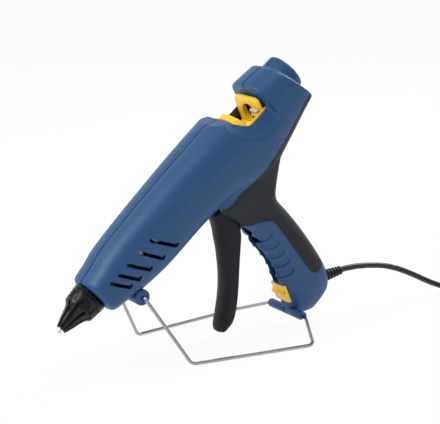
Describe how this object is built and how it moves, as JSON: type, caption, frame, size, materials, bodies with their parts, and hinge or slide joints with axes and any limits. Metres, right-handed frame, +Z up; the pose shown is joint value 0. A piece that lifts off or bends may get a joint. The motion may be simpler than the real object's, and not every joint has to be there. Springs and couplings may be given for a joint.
{
  "type": "hot glue applicator",
  "caption": "Hand-held hot glue gun on a folding wire stand: finned nozzle sleeve, vented barrel, loading window with feed carriage, trigger, flow slider, pistol grip and cord.",
  "frame": {"origin": "centre of the applicator's footprint box, cord left out, on the plane the wire stand rests on", "axes": "+X from the nozzle towards the tail and the cord, +Y to the gun's right seen from behind, +Z up"},
  "size_m": [0.5452, 0.1587, 0.2482],
  "materials": {
    "blue_shell": "satin, fine grain",
    "grip_rubber": "matte soft-touch",
    "trigger_black": "matte soft-touch",
    "steel": "plain",
    "brass": "turned",
    "sleeve_black": "semi-matte moulded",
    "cast_aluminium": "cast",
    "heater_ceramic": "fired",
    "nylon_black": "moulded",
    "silicone_red": "matte",
    "mica_grey": "pressed",
    "carriage_yellow": "moulded",
    "slider_yellow": "moulded",
    "jaw_beige": "moulded",
    "cord_black": "semi-matte",
    "tie_black": "matte",
    "plug_black": "moulded",
    "pin_brass": "plated",
    "board_green": "lacquered",
    "terminal_white": "moulded",
    "stand_chrome": "bright plated wire"
  },
  "bodies": {
    "gun_body": {"housing_left": "blue_shell", "housing_right": "blue_shell", "grip_rubber_left": "grip_rubber", "grip_rubber_right": "grip_rubber", "housing_screw_1": "steel", "housing_screw_2": "steel", "housing_screw_3": "steel", "housing_screw_4": "steel", "housing_screw_5": "steel", "housing_screw_6": "steel", "housing_screw_7": "steel", "nozzle": "brass", "nozzle_sleeve": "sleeve_black", "valve_spring": "steel", "melt_chamber": "cast_aluminium", "heater_upper": "heater_ceramic", "heater_lower": "heater_ceramic", "heater_band_front": "steel", "heater_band_rear": "steel", "thermal_cutout": "nylon_black", "inlet_sleeve": "silicone_red", "inlet_clip": "steel", "front_insulator": "mica_grey", "rear_insulator": "mica_grey", "guide_plate": "nylon_black", "rear_plate": "nylon_black", "guide_rod_left": "steel", "guide_rod_right": "steel", "trigger_pin": "steel", "return_spring": "steel", "spring_seat": "nylon_black", "strain_relief": "cord_black", "control_board": "board_green", "terminal_block": "terminal_white", "power_cord": "cord_black", "cord_coil": "cord_black", "cord_tie": "tie_black", "plug_body": "plug_black", "plug_pin_left": "pin_brass", "plug_pin_right": "pin_brass"},
    "trigger": {"trigger": "trigger_black", "link_pin_front": "steel"},
    "carriage": {"feed_carriage": "carriage_yellow", "link_pin_rear": "steel", "jaw_pin": "steel"},
    "link": {"feed_link": "steel"},
    "jaw": {"grip_jaw": "jaw_beige"},
    "flow_slider": {"flow_slider": "slider_yellow"},
    "valve": {"valve_ball": "steel"},
    "stand": {"stand_wire": "stand_chrome"}
  },
  "joints": [
    {"name": "trigger_squeeze", "type": "hinge", "parent": "gun_body", "child": "trigger", "pos_m": [0.01344, 0, 0.12018], "axis": [0, -1, 0], "range_deg": [0, 20], "stiffness_Nm_per_rad": 0.8, "springref_deg": -9.74, "deforming": ["return_spring"]},
    {"name": "carriage_slide", "type": "slide", "parent": "gun_body", "child": "carriage", "axis": [-0.7547, 0, -0.6561], "range_m": [0, 0.0098]},
    {"name": "link_swing", "type": "hinge", "parent": "carriage", "child": "link", "pos_m": [0.03733, 0, 0.17805], "axis": [0, -1, 0], "range_deg": [0, 2]},
    {"name": "jaw_swing", "type": "hinge", "parent": "carriage", "child": "jaw", "pos_m": [0.04863, -0.0084, 0.20377], "axis": [-0.6561, 0, 0.7547], "range_deg": [0, 6], "stiffness_Nm_per_rad": 0.001, "springref_deg": -5.73},
    {"name": "flow_slide", "type": "slide", "parent": "gun_body", "child": "flow_slider", "axis": [-0.9241, 0, -0.3821], "range_m": [0, 0.005]},
    {"name": "valve_lift", "type": "slide", "parent": "gun_body", "child": "valve", "axis": [0.7547, 0, 0.6561], "range_m": [0, 0.0015], "stiffness_N_per_m": 50, "springref_m": -0.004, "deforming": ["valve_spring"]},
    {"name": "stand_fold", "type": "hinge", "parent": "gun_body", "child": "stand", "pos_m": [-0.07758, 0, 0.05934], "axis": [0, 1, 0], "range_deg": [0, 95]}
  ],
  "couplings": [
    {"joint": "carriage_slide", "follows": "trigger_squeeze", "m_per_rad": 0.02744},
    {"joint": "link_swing", "follows": "trigger_squeeze", "ratio": 0.0816}
  ]
}
